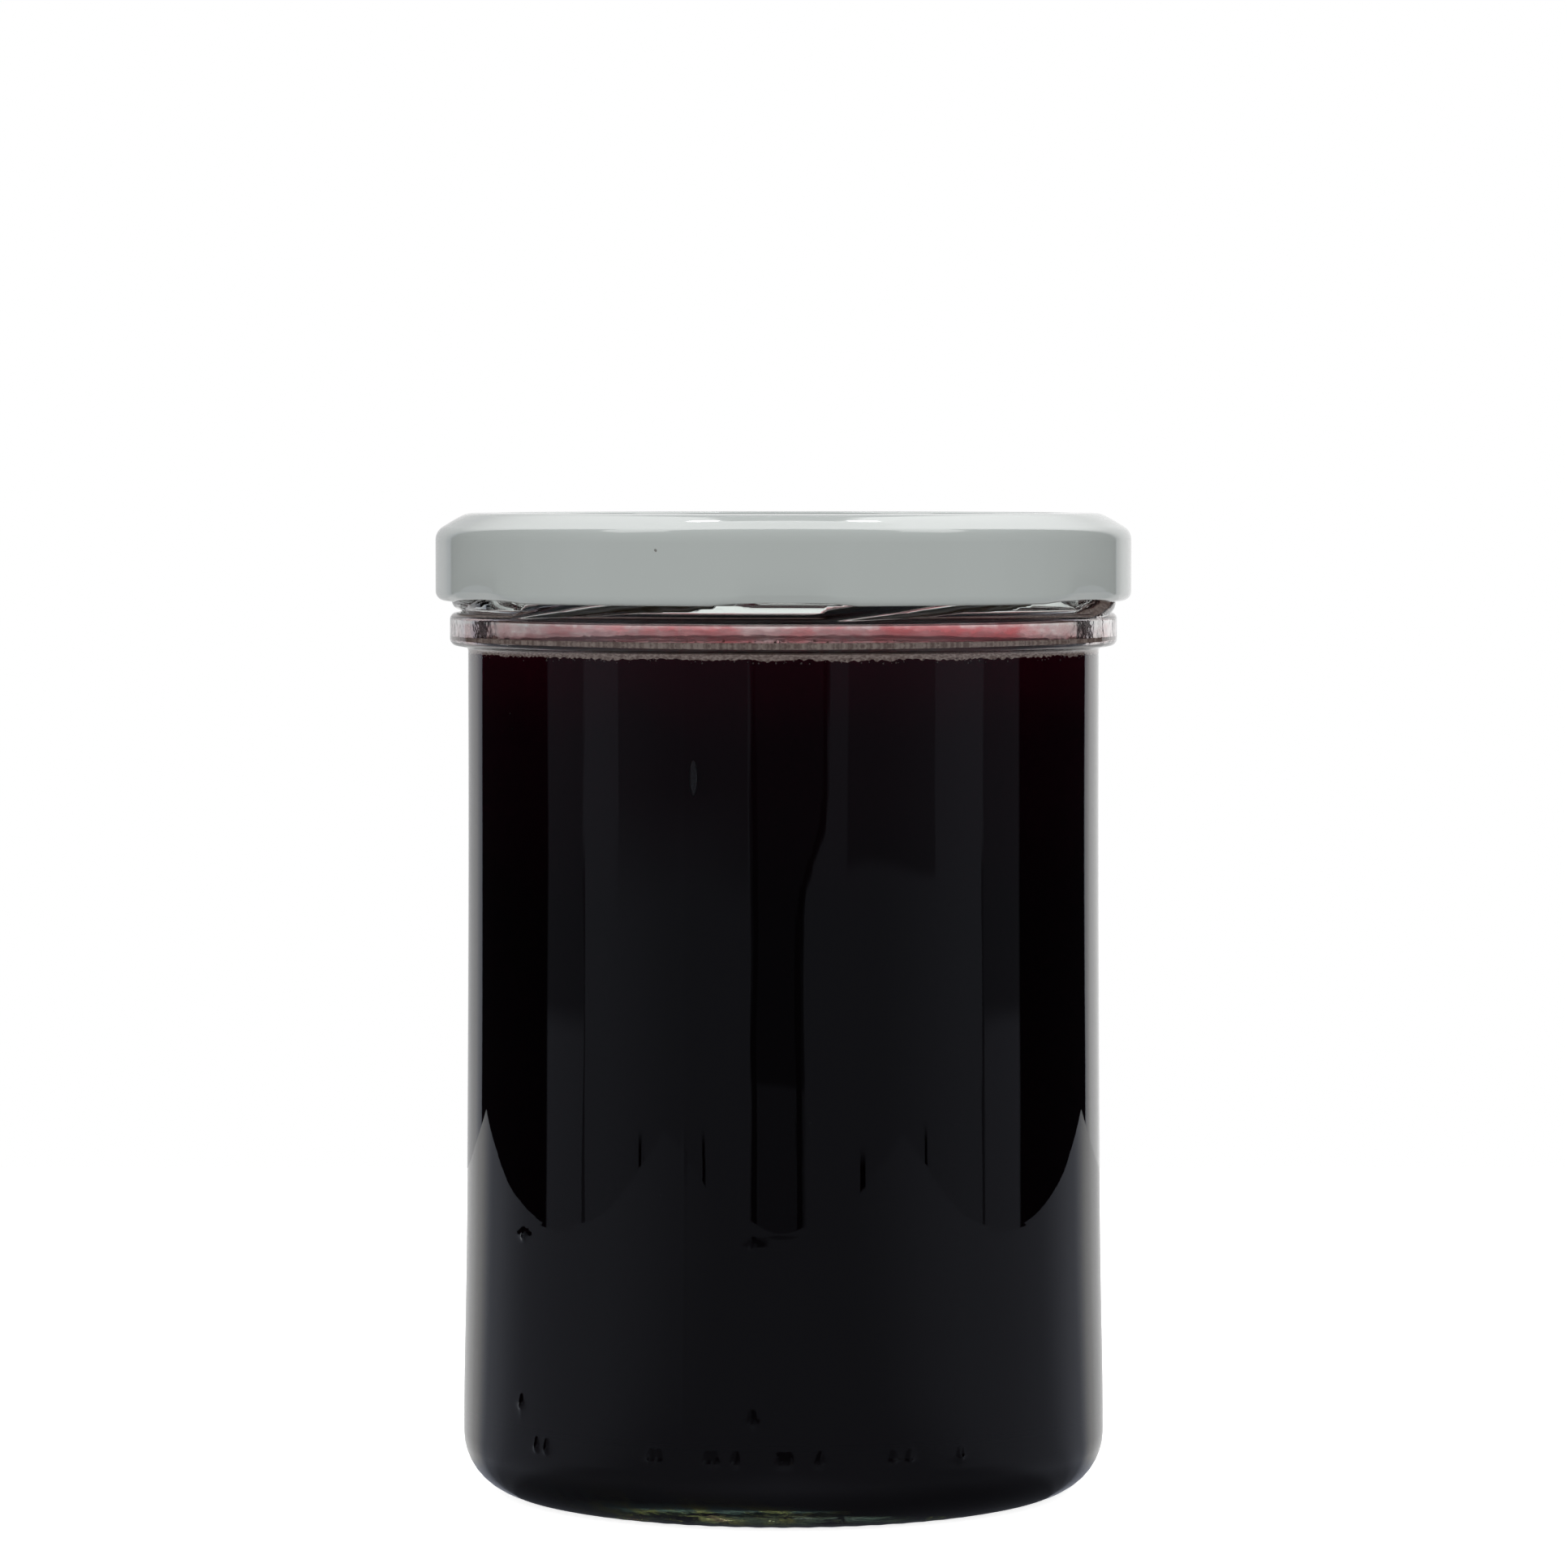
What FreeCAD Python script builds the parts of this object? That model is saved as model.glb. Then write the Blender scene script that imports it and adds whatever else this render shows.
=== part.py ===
import FreeCAD, Part
import os
from math import degrees, pi, radians, sin, sqrt, tan

from FreeCAD import Vector

# A straight-sided glass jar of dark fruit jelly, closed with an 82 mm twist-off cap.
# The origin is the centre of the base on the table, +Z is up and -Y is the front.
# Lengths are millimetres and angles are degrees. Pieces that are turned about Z are
# drawn as lines of (radius, height, bend radius) corners.

# Driving dimensions: the jar.
JAR_HEIGHT = 119.1
BODY_R = 38.73          # body from its middle up to the neck
FLARE_R = 39.03         # body where its slight taper grows into a flare
BASE_R = 39.46          # body just above the heel
WALL = 2.4
HEEL_BEND = 7.2
BEARING_R = 29.0        # inside of the ring that the jar stands on
PUSH_UP = 3.0           # how far the underside rises at its centre
FLOOR_Z = 6.4           # inside of the base at its centre
FLOOR_EDGE_Z = 3.4      # inside of the base out at the wall, before its bend
FLARE_LOW_Z = 11.5
FLARE_TOP_Z = 32.0
TAPER_TOP_Z = 78.0
FLARE_LOW_BEND = 350.0  # the body has no visible edge where its slope changes
FLARE_TOP_BEND = 1500.0
TAPER_TOP_BEND = 4000.0
WIDE_BEND = 100.0       # wider bends than this are drawn as parabolas

# Driving dimensions: the finish, the neck that takes the cap.
NECK_R = 39.0
BORE_R = 36.3
BEAD_R = 40.95
BEAD_LOW_Z = 104.0
BEAD_HIGH_Z = 108.0
THREAD_R = 40.8
THREAD_STARTS = 6
THREAD_SPAN = 78.0      # each thread reaches over the next one's start
THREAD_DROP = 3.9       # the tip of a thread lies this much below its level end
THREAD_RAMP_TURN = 44.0
THREAD_RAMP_RISE = 3.0
THREAD_LEVEL_FROM = 52.5
THREAD_FADE = 8.0
THREAD_HEIGHT = 2.4
THREAD_TIP_HEIGHT = 1.4
THREAD_STEP = 6.0

# Driving dimensions: the cap.
CAP_TOP_Z = 120.2
CAP_LOW_Z = 109.45
CAP_R = 42.7
SHEET = 0.25            # tinplate with its lacquer
CURL_WIDTH = 1.7
CURL_HEIGHT = 2.25
LUG_COUNT = 6
LUG_TOP_Z = 110.45
LUG_LIFT = 0.4          # the lower edge of the cap rises this much over a lug
LUG_R = 39.95           # distance of a lug's straight inner edge from the axis
LUG_HALF_WIDTH = 4.6
LUG_PLAY = 0.08         # the seat is this much over the lug at the crest, less nearer the root
DENT_HEIGHT = 1.75      # the flat pressed over a lug, from the cap's lower edge
DENT_TILT = 28.0

# Driving dimensions: what is inside.
FILL_Z = 103.3
MENISCUS = 0.8
SEAL_LOW_Z = 118.8      # the rim sinks a little into the sealing compound

FRONT = -90.0           # direction of the first lug and the first thread's start
AXIS = Vector(0, 0, 1)
ORIGIN = Vector(0, 0, 0)


def straight(start, end):
    return [Part.makeLine(start, end)] if start.distanceToPoint(end) > 1e-6 else []


def rounded(before, corner, after, bend):
    """A rounded corner's first point, last point and curve."""
    back = (before - corner).normalize()
    ahead = (after - corner).normalize()
    half = back.getAngle(ahead) / 2
    first = corner + back * (bend / tan(half))
    last = corner + ahead * (bend / tan(half))
    if bend > WIDE_BEND:
        curve = Part.BezierCurve()
        curve.setPoles([first, corner, last])
        return first, last, curve.toShape()
    centre = corner + (back + ahead).normalize() * (bend / sin(half))
    middle = centre + (corner - centre).normalize() * bend
    return first, last, Part.Arc(first, middle, last).toShape()


def bent_line(corners):
    """Edges in the XZ plane through (r, z, bend) corners, each corner rounded by its bend."""
    points = [Vector(r, 0, z) for r, z, bend in corners]
    edges = []
    start = points[0]
    for before, corner, after, (r, z, bend) in zip(points, points[1:], points[2:], corners[1:]):
        if bend:
            first, last, curve = rounded(before, corner, after, bend)
            edges += straight(start, first) + [curve]
            start = last
        else:
            edges += straight(start, corner)
            start = corner
    return edges + straight(start, points[-1])


def closed_face(corners):
    """Face inside a bent line whose two ends are joined by a straight edge."""
    edges = bent_line(corners)
    ends = [Vector(r, 0, z) for r, z, bend in (corners[-1], corners[0])]
    return Part.Face(Part.Wire(edges + straight(*ends)))


def turned(corners, sweep=360.0, middle=0.0):
    """Solid of revolution about Z, or a sector of it on both sides of the middle direction."""
    face = closed_face(corners)
    face.rotate(ORIGIN, AXIS, middle - sweep / 2)
    return face.revolve(ORIGIN, AXIS, sweep)


def beside(corners, gap):
    """The same bent line, moved by the gap to the right of its run, with concentric bends."""
    moved = []
    for index, (r, z, bend) in enumerate(corners):
        here = Vector(r, 0, z)
        runs = []
        if index > 0:
            before = corners[index - 1]
            runs.append((here - Vector(before[0], 0, before[1])).normalize())
        if index < len(corners) - 1:
            after = corners[index + 1]
            runs.append((Vector(after[0], 0, after[1]) - here).normalize())
        rights = [Vector(run.z, 0, -run.x) for run in runs]
        mitre = (rights[0] + rights[-1]).normalize()
        place = here + mitre * (gap / mitre.dot(rights[0]))
        turns_left = runs[0].x * runs[-1].z - runs[0].z * runs[-1].x > 0
        if bend:
            bend += gap if turns_left else -gap
        moved.append((place.x, place.z, bend))
    return moved


# The glass jar: one piece, blown and pressed, with a thick base and six threads on its neck.

def inner_wall():
    """The inside of the jar, from the centre of its floor up to the mouth."""
    low_r = BASE_R - WALL
    return [
        (0, FLOOR_Z, 0),
        (low_r, FLOOR_EDGE_Z, HEEL_BEND - 0.7),
        (low_r, FLARE_LOW_Z, FLARE_LOW_BEND),
        (BORE_R, BEAD_LOW_Z - 8.0, FLARE_LOW_BEND),
        (BORE_R, JAR_HEIGHT, 0),
    ]


def jar_blank():
    """The jar before its threads: underside, heel, body, transfer bead, neck and rim."""
    outside = [
        (0, PUSH_UP, 0),
        (BEARING_R - 3.5, PUSH_UP - 0.9, 4.0),
        (BEARING_R, 0, 1.6),
        (BASE_R, 0, HEEL_BEND),
        (BASE_R, FLARE_LOW_Z, FLARE_LOW_BEND),
        (FLARE_R, FLARE_TOP_Z, FLARE_TOP_BEND),
        (BODY_R, TAPER_TOP_Z, TAPER_TOP_BEND),
        (BODY_R, BEAD_LOW_Z - 0.2, 0.6),
        (BEAD_R, BEAD_LOW_Z, 0.9),
        (BEAD_R, BEAD_HIGH_Z, 0.9),
        (NECK_R, BEAD_HIGH_Z + 0.1, 0.5),
        (NECK_R, JAR_HEIGHT, 1.25),
    ]
    rim_inside = (BORE_R, JAR_HEIGHT, 1.2)
    inside = inner_wall()[::-1][1:]
    return turned(outside + [rim_inside] + inside)


def thread_seat(turn):
    """Height of a thread's lower side: a ramp, a steeper lead to the seat, then level."""
    level = LUG_TOP_Z + LUG_PLAY
    if turn < THREAD_RAMP_TURN:
        return level - THREAD_DROP + THREAD_RAMP_RISE * turn / THREAD_RAMP_TURN
    left = max(0.0, THREAD_LEVEL_FROM - turn) / (THREAD_LEVEL_FROM - THREAD_RAMP_TURN)
    return level - (THREAD_DROP - THREAD_RAMP_RISE) * left


def thread_section(turn, direction):
    """Closed outline of a thread after a number of degrees from its tip, in its radial plane."""
    fade_in = min(1.0, turn / THREAD_FADE)
    fade_out = min(1.0, (THREAD_SPAN - turn) / THREAD_FADE)
    ease = sin(min(fade_in, fade_out) * pi / 2)
    root_r = NECK_R - 0.4
    crest_r = root_r + 0.1 + (THREAD_R - root_r - 0.1) * ease
    shoulder_r = root_r + (crest_r - root_r) * 0.85
    seat = thread_seat(turn)
    grown = min(1.0, turn / 27.0)
    top = seat + THREAD_TIP_HEIGHT + (THREAD_HEIGHT - THREAD_TIP_HEIGHT) * grown
    low_root = Vector(root_r, 0, seat - 0.3)
    low_crest = Vector(shoulder_r, 0, seat)
    crest = Vector(crest_r, 0, (seat + top - 0.8) / 2)
    high_crest = Vector(shoulder_r, 0, top - 0.8)
    high_root = Vector(root_r, 0, top)
    wire = Part.Wire([
        Part.makeLine(low_root, low_crest),
        Part.Arc(low_crest, crest, high_crest).toShape(),
        Part.makeLine(high_crest, high_root),
        Part.makeLine(high_root, low_root),
    ])
    wire.rotate(ORIGIN, AXIS, direction + turn)
    return wire


def thread(direction):
    """One right-hand thread: it leaves the bead, climbs, and runs level over the next lug."""
    steps = int(THREAD_SPAN / THREAD_STEP)
    sections = [thread_section(step * THREAD_STEP, direction) for step in range(steps + 1)]
    return Part.makeLoft(sections, True)


def glass_jar():
    spacing = 360.0 / THREAD_STARTS
    threads = [thread(FRONT + start * spacing) for start in range(THREAD_STARTS)]
    return jar_blank().fuse(threads).removeSplitter()


# The cap: one drawn sheet, curled at its lower edge, with six lugs pressed in from the curl.

def cap_outer_face():
    """Outer face of the sheet, from the safety button out to the skirt and round the curl."""
    panel_z = CAP_TOP_Z - 0.95
    curl_r = CAP_R - CURL_WIDTH
    curl_top_z = CAP_LOW_Z + CURL_HEIGHT
    return [
        (0, panel_z - 0.45, 0),
        (8.0, panel_z - 0.4, 12.0),
        (12.4, panel_z + 0.15, 1.5),
        (14.2, panel_z + 0.15, 1.2),
        (15.2, panel_z, 2.0),
        (34.4, panel_z, 0.8),
        (35.1, CAP_TOP_Z, 0.8),
        (38.8, CAP_TOP_Z, 3.25),
        (40.4, CAP_TOP_Z - 0.83, 12.0),
        (CAP_R, CAP_TOP_Z - 2.24, 1.9),
        (CAP_R, CAP_LOW_Z, 1.15),
        (curl_r, CAP_LOW_Z, 0.5),
        (curl_r, curl_top_z, 0.5),
        (CAP_R - 2.2 * SHEET, curl_top_z, 0),
    ]


def crushed_curl(direction):
    """The curl where a lug is pressed: its layers lie on each other and fill its section."""
    layers = beside(cap_outer_face()[-5:], SHEET / 2)
    corners = [(layers[0][0], layers[-1][1], 0)] + layers[1:-1]
    return turned(corners, 2 * dent_half_angle() + 1.0, direction)


def dent_half_angle():
    """Half the turn over which the pressed flat meets the round skirt."""
    depth = DENT_HEIGHT * tan(radians(DENT_TILT))
    return degrees(sqrt(2 * depth / CAP_R))


def lug(direction):
    """The straight tongue that a lug shows inside the cap, under a thread of the jar."""
    back_r = CAP_R - CURL_WIDTH + 0.8
    foot = LUG_HALF_WIDTH + 2.9
    low_z = CAP_LOW_Z + 0.1
    plan = closed_face([
        (back_r, -foot, 0),
        (LUG_R, -LUG_HALF_WIDTH, 1.5),
        (LUG_R, LUG_HALF_WIDTH, 1.5),
        (back_r, foot, 0),
    ])
    plan.rotate(ORIGIN, Vector(1, 0, 0), 90)
    tongue = plan.extrude(Vector(0, 0, LUG_TOP_Z - low_z))
    rims = [edge for edge in tongue.Edges if edge.BoundBox.ZLength < 0.01]
    tongue = tongue.makeFillet(0.2, [edge for edge in rims if edge.BoundBox.XMin < back_r - 0.1])
    tongue.translate(Vector(0, 0, low_z))
    tongue.rotate(ORIGIN, AXIS, direction)
    return tongue


def dent_tool(direction):
    """What the press takes from the round outside of the skirt: all beyond a tilted flat."""
    block = Part.makeBox(6, 30, 8, Vector(0, -15, -6))
    block.rotate(ORIGIN, Vector(0, 1, 0), DENT_TILT)
    block.translate(Vector(CAP_R, 0, CAP_LOW_Z + DENT_HEIGHT))
    block.rotate(ORIGIN, AXIS, direction)
    return block


def lift_tool(direction):
    """What the press takes from the cap's lower edge: a shallow arch over the lug."""
    half_width = CAP_R * sin(radians(dent_half_angle()))
    arch_r = (half_width ** 2 + LUG_LIFT ** 2) / (2 * LUG_LIFT)
    centre = Vector(CAP_R - 8, 0, CAP_LOW_Z + LUG_LIFT - arch_r)
    arch = Part.makeCylinder(arch_r, 12, centre, Vector(1, 0, 0))
    arch.rotate(ORIGIN, AXIS, direction)
    return arch


def lid():
    outer = cap_outer_face()
    sheet = turned(outer + beside(outer, SHEET)[::-1])
    directions = [FRONT + place * 360.0 / LUG_COUNT for place in range(LUG_COUNT)]
    added = [make(direction) for direction in directions for make in (crushed_curl, lug)]
    pressed = [make(direction) for direction in directions for make in (dent_tool, lift_tool)]
    return sheet.fuse(added).cut(pressed).removeSplitter()


# The sealing compound: a soft ring cast into the cap's channel, with the rim's print in it.

def sealing_ring():
    channel = [
        (35.75, CAP_TOP_Z + 1, 0),
        (35.75, SEAL_LOW_Z, 0.35),
        (41.3, SEAL_LOW_Z, 0.35),
        (41.3, CAP_TOP_Z + 1, 0),
    ]
    under_sheet = beside(cap_outer_face()[5:11], SHEET)
    room = [(under_sheet[0][0], SEAL_LOW_Z - 1, 0)] + under_sheet[1:]
    return turned(channel).common(turned(room)).cut(jar_blank())


# The jelly: it fills the jar to just under the bead and climbs a little at the wall.

def fruit_jelly():
    inside = inner_wall()
    cavity = turned(inside + [(0, JAR_HEIGHT, 0)])
    surface = [
        (0, 0, 0),
        (BASE_R, 0, 0),
        (BASE_R, FILL_Z + 4 * MENISCUS, 0),
        (BORE_R - MENISCUS, FILL_Z, 2 * MENISCUS),
        (0, FILL_Z, 0),
    ]
    return cavity.common(turned(surface))


PIECES = {
    "glass_jar": glass_jar,
    "lid": lid,
    "sealing_ring": sealing_ring,
    "fruit_jelly": fruit_jelly,
}

os.makedirs("parts", exist_ok=True)
for name, make in PIECES.items():
    shape = make()
    solid = shape.Solids[0]
    solid.exportStep("parts/" + name + ".step")
    box = solid.BoundBox
    print("%s: %d solid, valid %s, volume %.1f mm3, z %.2f to %.2f, radius %.2f, %d faces" % (
        name, len(shape.Solids), solid.isValid(), solid.Volume, box.ZMin, box.ZMax, box.XMax,
        len(solid.Faces)))
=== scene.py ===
from math import ceil, cos, degrees, exp, pi, radians, sin, sqrt, tan

import bmesh
import bpy
from mathutils import Matrix, Vector, noise


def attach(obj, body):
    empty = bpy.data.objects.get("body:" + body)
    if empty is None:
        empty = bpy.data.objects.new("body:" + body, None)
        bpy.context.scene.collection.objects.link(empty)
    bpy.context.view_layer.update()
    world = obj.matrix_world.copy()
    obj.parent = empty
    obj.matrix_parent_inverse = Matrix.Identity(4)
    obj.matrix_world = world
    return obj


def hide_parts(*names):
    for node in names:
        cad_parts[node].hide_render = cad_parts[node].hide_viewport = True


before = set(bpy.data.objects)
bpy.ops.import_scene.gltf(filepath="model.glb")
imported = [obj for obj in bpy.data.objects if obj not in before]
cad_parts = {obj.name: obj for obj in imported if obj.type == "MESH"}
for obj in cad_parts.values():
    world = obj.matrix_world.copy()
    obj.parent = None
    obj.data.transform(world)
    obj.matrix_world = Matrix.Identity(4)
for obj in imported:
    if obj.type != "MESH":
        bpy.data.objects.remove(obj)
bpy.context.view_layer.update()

scene = bpy.context.scene


# The glass jar. One piece of clear glass, blown in a mould whose two halves and neck ring
# leave fine seams. The neck carries a transfer bead and six threads, and the foot stands
# on a ribbed bearing ring. Small raised dots from the mould sit round the heel.

MM = 0.001
FRONT = -90.0
BASE_R = 39.46
FLARE_R = 39.03
BODY_R = 38.73
INNER_R = 37.06
BORE_R = 36.3
BEAD_R = 40.95
NECK_R = 39.0
WALL_MIDDLE_R = 37.5
PUNT_Z = 3.0
FLOOR_Z = 6.4
FLOOR_EDGE_Z = 3.4
FLARE_LOW_Z = 11.5
FLARE_TOP_Z = 32.0
TAPER_TOP_Z = 78.0
BORE_LOW_Z = 96.0
BEAD_LOW_Z = 104.0
BEAD_TOP_Z = 108.0
JAR_HEIGHT = 119.1
FLARE_LOW_BEND = 350.0
FLARE_TOP_BEND = 1500.0
TAPER_TOP_BEND = 4000.0

THREADS = 6
THREAD_SEAT_Z = 110.53
THREAD_LOW_Z = 106.2
THREAD_TOP_Z = 114.5
THREAD_TURN = 78.0
THREAD_FADE_TURN = 8.0
RAMP_TURN = 44.0
LEVEL_TURN = 52.5
RAMP_RISE = 3.0
LEAD_RISE = 0.9

BEARING_RIBS = 72
RIB_R = 31.5
RIB_HALF_WIDTH = 2.5
RIB_DEPTH = 0.12
SEAM_TURN = -17.5
SEAM_HEIGHT = 0.05
SEAM_WIDTH = 0.14
RING_SEAM_Z = 101.85
RING_SEAM_HEIGHT = 0.2
DOT_SIZE = 0.4
HEEL_DOT_Z = 8.5
HEEL_DOTS = [-48.5, -45.9, -23.4, -22.0, -13.2, -11.9, -8.3, -0.6, 0.9, 6.3, 19.1, 22.1, 32.1]
LONE_DOTS = [(-53.0, 33.7), (-53.0, 13.3), (-5.4, 34.1), (-5.4, 13.3)]
MOULD_DOTS = [(turn, HEEL_DOT_Z) for turn in HEEL_DOTS] + LONE_DOTS

JAR_OUTSIDE = [
    (0, PUNT_Z, 0), (25.5, 2.1, 4.0), (29.0, 0, 1.6), (BASE_R, 0, 7.2),
    (BASE_R, FLARE_LOW_Z, FLARE_LOW_BEND), (FLARE_R, FLARE_TOP_Z, FLARE_TOP_BEND),
    (BODY_R, TAPER_TOP_Z, TAPER_TOP_BEND), (BODY_R, BEAD_LOW_Z - 0.2, 0.6),
    (BEAD_R, BEAD_LOW_Z, 0.9), (BEAD_R, BEAD_TOP_Z, 0.9),
    (NECK_R, BEAD_TOP_Z + 0.1, 0.5), (NECK_R, JAR_HEIGHT, 1.25),
]
JAR_INSIDE = [
    (0, FLOOR_Z, 0), (INNER_R, FLOOR_EDGE_Z, 6.5), (INNER_R, FLARE_LOW_Z, FLARE_LOW_BEND),
    (BORE_R, BORE_LOW_Z, FLARE_LOW_BEND),
]
RIM_INSIDE = (BORE_R, JAR_HEIGHT, 1.2)


def bend_points(before, here, after, bend):
    """Points round one bend: an arc, or a parabola where the radius of the bend is large."""
    back = (before - here).normalized()
    ahead = (after - here).normalized()
    half = back.angle(ahead) / 2
    first = here + back * (bend / tan(half))
    last = here + ahead * (bend / tan(half))
    if bend > 100:
        steps = [step / 6 for step in range(7)]
        return [first * (1 - t) ** 2 + here * (2 * t * (1 - t)) + last * t ** 2 for t in steps]
    centre = here + (back + ahead).normalized() * (bend / sin(half))
    sweep = (first - centre).angle(last - centre)
    count = max(3, ceil(degrees(pi - 2 * half) / 9))
    points = []
    for step in range(count + 1):
        t = step / count
        spoke = (first - centre) * sin((1 - t) * sweep) + (last - centre) * sin(t * sweep)
        points.append(centre + spoke / sin(sweep))
    return points


def bent_line(corners):
    """Points along (radius, height, bend) corners, in millimetres, round at each bend. A
    straight run has a point just inside each end, so that its shading stays flat."""
    places = [Vector(corner[:2]) for corner in corners]
    line = [places[0]]
    for index in range(1, len(corners)):
        bend = corners[index][2] if index < len(corners) - 1 else 0
        stretch = [places[index]]
        if bend:
            stretch = bend_points(places[index - 1], places[index], places[index + 1], bend)
        run = stretch[0] - line[-1]
        if run.length > 0.3:
            line += [line[-1] + run.normalized() * 0.06, stretch[0] - run.normalized() * 0.06]
        line += stretch
    return line


def divided(line, gap):
    """The same line with more points: gap(r, z) says how far apart they may be."""
    points = [line[0]]
    for start, end in zip(line, line[1:]):
        middle = (start + end) / 2
        pieces = max(1, ceil((end - start).length / gap(*middle)))
        points += [start.lerp(end, piece / pieces) for piece in range(1, pieces + 1)]
    return points


def turned(name, line, directions, move=None, ring=False):
    """A mesh of revolution about Z. The solid lies to the left of the line as it runs."""
    vertices, rows, faces = [], [], []
    for r, z in line:
        around = directions if r > 1e-6 else directions[:1]
        rows.append([len(vertices) + place for place in range(len(around))])
        for direction in around:
            r_here, z_here = move(r, z, direction) if move else (r, z)
            turn = radians(direction)
            vertices.append((r_here * cos(turn) * MM, r_here * sin(turn) * MM, z_here * MM))
    for low, high in zip(rows, rows[1:] + rows[:1] if ring else rows[1:]):
        for place in range(len(directions)):
            beside = (place + 1) % len(directions)
            if len(low) == 1:
                faces.append((low[0], high[beside], high[place]))
            elif len(high) == 1:
                faces.append((low[place], low[beside], high[0]))
            else:
                faces.append((low[place], low[beside], high[beside], high[place]))
    mesh = bpy.data.meshes.new(name)
    mesh.from_pydata(vertices, [], faces)
    mesh.shade_smooth()
    piece = bpy.data.objects.new(name, mesh)
    scene.collection.objects.link(piece)
    return piece


def evenly(step, finer=()):
    """Directions round the axis in degrees, closer together beside each of the finer ones."""
    directions = {round(step * place, 3) for place in range(round(360 / step))}
    for middle in finer:
        directions |= {round((middle + 0.3 * place) % 360, 3) for place in range(-3, 4)}
    return sorted(directions)


def apart(direction, other):
    """The turn from one direction to another, between -180 and 180 degrees."""
    return (direction - other + 180) % 360 - 180


def thread_radius(z, turn):
    """How far out a thread stands at a height, after a turn from its tip."""
    ends = (turn / THREAD_FADE_TURN, (THREAD_TURN - turn) / THREAD_FADE_TURN)
    ease = sin(min(1.0, *ends) * pi / 2)
    root = NECK_R - 0.4
    crest = NECK_R - 0.3 + 2.1 * ease
    shoulder = root + (crest - root) * 0.85
    seat = THREAD_SEAT_Z - LEAD_RISE * max(0.0, LEVEL_TURN - turn) / (LEVEL_TURN - RAMP_TURN)
    if turn < RAMP_TURN:
        seat = THREAD_SEAT_Z - LEAD_RISE - RAMP_RISE * (1 - turn / RAMP_TURN)
    top = seat + 1.4 + min(1.0, turn / 27.0)
    slope_z = top - 0.8
    middle = (seat + slope_z) / 2
    if z < seat:
        return shoulder + (seat - z) / 0.3 * (root - shoulder)
    if z > slope_z:
        return shoulder + (z - slope_z) / 0.8 * (root - shoulder)
    return crest - (crest - shoulder) * ((z - middle) / (slope_z - middle)) ** 2


def moulded(r, z, direction):
    """The marks that the mould leaves on the turned jar."""
    if z < 1.2 and abs(r - RIB_R) < RIB_HALF_WIDTH:
        across = 1 - ((r - RIB_R) / RIB_HALF_WIDTH) ** 2
        return r, z + RIB_DEPTH * across * (0.5 - 0.5 * cos(radians(direction * BEARING_RIBS)))
    if r < WALL_MIDDLE_R:
        return r, z
    if THREAD_LOW_Z < z < THREAD_TOP_Z:
        for thread in range(THREADS):
            turn = (direction - FRONT - 360.0 / THREADS * thread) % 360
            if turn < THREAD_TURN:
                r = max(r, thread_radius(z, turn))
    for seam in (SEAM_TURN, SEAM_TURN + 180):
        off = apart(direction, FRONT + seam) * r * pi / 180
        r += SEAM_HEIGHT * exp(-(off / SEAM_WIDTH) ** 2) if z < BEAD_TOP_Z else 0
    for turn, height in MOULD_DOTS:
        off = Vector((apart(direction, FRONT + turn) * 0.68, z - height)).length
        r += DOT_SIZE * exp(-(off / DOT_SIZE) ** 2) if off < 2 else 0
    return r + RING_SEAM_HEIGHT * exp(-((z - RING_SEAM_Z) / SEAM_WIDTH) ** 2), z


def jar_gap(r, z):
    """Close rows for the threads, the ring seam, the dots and the bearing ring."""
    if r > WALL_MIDDLE_R and 107.0 < z < 114.2:
        return 0.14 if z < 109.9 else 0.4
    if r > WALL_MIDDLE_R and abs(z - RING_SEAM_Z) < 0.4:
        return 0.08
    if r > WALL_MIDDLE_R and min(abs(z - height) for turn, height in MOULD_DOTS) < 1.0:
        return 0.3
    return 0.5 if z < 1.2 and r > 28.0 else 12.0


jar_line = bent_line(JAR_OUTSIDE + [RIM_INSIDE] + JAR_INSIDE[::-1])
fine_turns = [FRONT + turn for turn, height in MOULD_DOTS]
fine_turns += [FRONT + SEAM_TURN, FRONT + SEAM_TURN + 180]
jar = turned("glass_jar_body", divided(jar_line, jar_gap), evenly(1.25, fine_turns), moulded)


BLISTER_R = 37.9
SEEDS = [
    (-58.6, 96.1), (-57.8, 94.3), (-70.2, 87.9), (-71.1, 64.3), (4.7, 48.7), (-22.2, 39.9),
    (-54.3, 33.6), (41.5, 32.9), (69.8, 68.1), (63.1, 81.2), (41.7, 54.1), (56.7, 20.8),
    (-1.6, 14.5),
]


def blister(shell, turn, height, half_wide, half_high):
    """A closed bubble of air in the glass wall, drawn out upwards as the glass was blown."""
    round_jar = Matrix.Rotation(radians(FRONT + turn), 4, "Z")
    place = round_jar @ Matrix.Translation((BLISTER_R * MM, 0, height * MM))
    shape = Matrix.Diagonal((0.2 * MM, half_wide * MM, half_high * MM, 1))
    made = bmesh.ops.create_icosphere(shell, subdivisions=2, radius=1, matrix=place @ shape)
    faces = {face for vertex in made["verts"] for face in vertex.link_faces}
    bmesh.ops.reverse_faces(shell, faces=list(faces))
    for face in faces:
        face.smooth = True


shell = bmesh.new()
shell.from_mesh(jar.data)
blister(shell, -16.1, 89.2, 0.6, 2.25)
for turn, height in SEEDS:
    blister(shell, turn, height, 0.14, 0.2)
shell.to_mesh(jar.data)
shell.free()


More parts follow.
